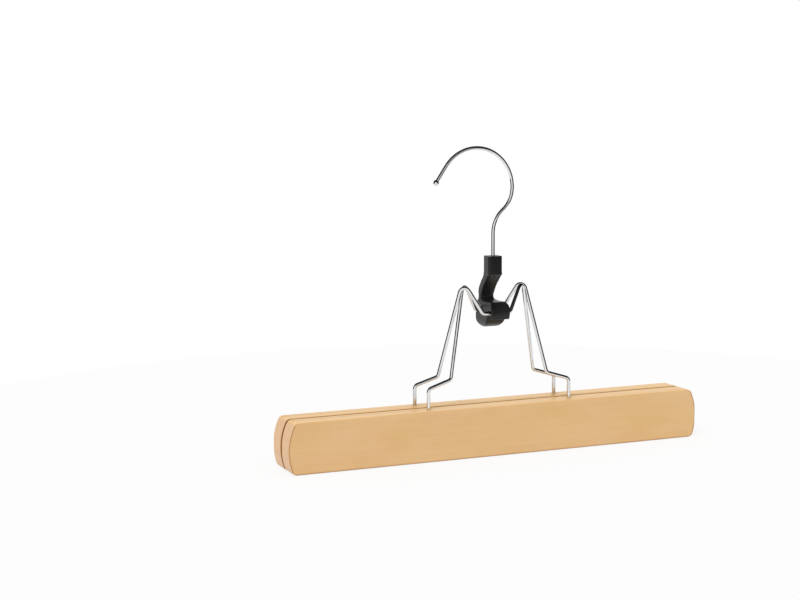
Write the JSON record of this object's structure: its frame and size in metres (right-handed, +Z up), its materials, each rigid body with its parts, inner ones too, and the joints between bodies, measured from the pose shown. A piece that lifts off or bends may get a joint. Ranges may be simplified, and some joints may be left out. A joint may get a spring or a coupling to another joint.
{
  "type": "trouser hanger",
  "caption": "Wooden clamp trouser hanger: two felt-lined bars on crossed spring wires, opened by a flip lever under a swivel hook.",
  "frame": {"origin": "centre of the part's box on the flat bottom of the closed bars", "axes": "+X along the bars, +Y from the front bar to the back bar, +Z up along the hook's stem"},
  "size_m": [0.355, 0.036, 0.2426],
  "materials": {
    "varnished_wood": "pale wood under clear satin varnish",
    "flocked_felt": "short dark flock, matt",
    "chromed_wire": "bright chromium plate on round steel wire",
    "black_plastic": "semi-gloss black moulded plastic"
  },
  "bodies": {
    "front_clamp": {"front_bar": "varnished_wood", "front_felt": "flocked_felt", "front_wire": "chromed_wire"},
    "lever": {"cam_lever": "black_plastic"},
    "back_clamp": {"back_bar": "varnished_wood", "back_felt": "flocked_felt", "back_wire": "chromed_wire"},
    "hook": {"hook": "chromed_wire", "hook_tip": "chromed_wire"}
  },
  "joints": [
    {"name": "lever_flip", "type": "hinge", "parent": "front_clamp", "child": "lever", "pos_m": [0, 0.0105, 0.1125], "axis": [-1, 0, 0], "range_deg": [0, 90]},
    {"name": "jaw_open", "type": "hinge", "parent": "front_clamp", "child": "back_clamp", "pos_m": [0, 0, 0.1295], "axis": [1, 0, 0], "range_deg": [0, 27]},
    {"name": "hook_swivel", "type": "hinge", "parent": "lever", "child": "hook", "pos_m": [0, 0, 0.15], "axis": [0, 0, 1], "continuous": true}
  ],
  "couplings": [
    {"joint": "jaw_open", "follows": "lever_flip", "ratio": 0.3}
  ]
}
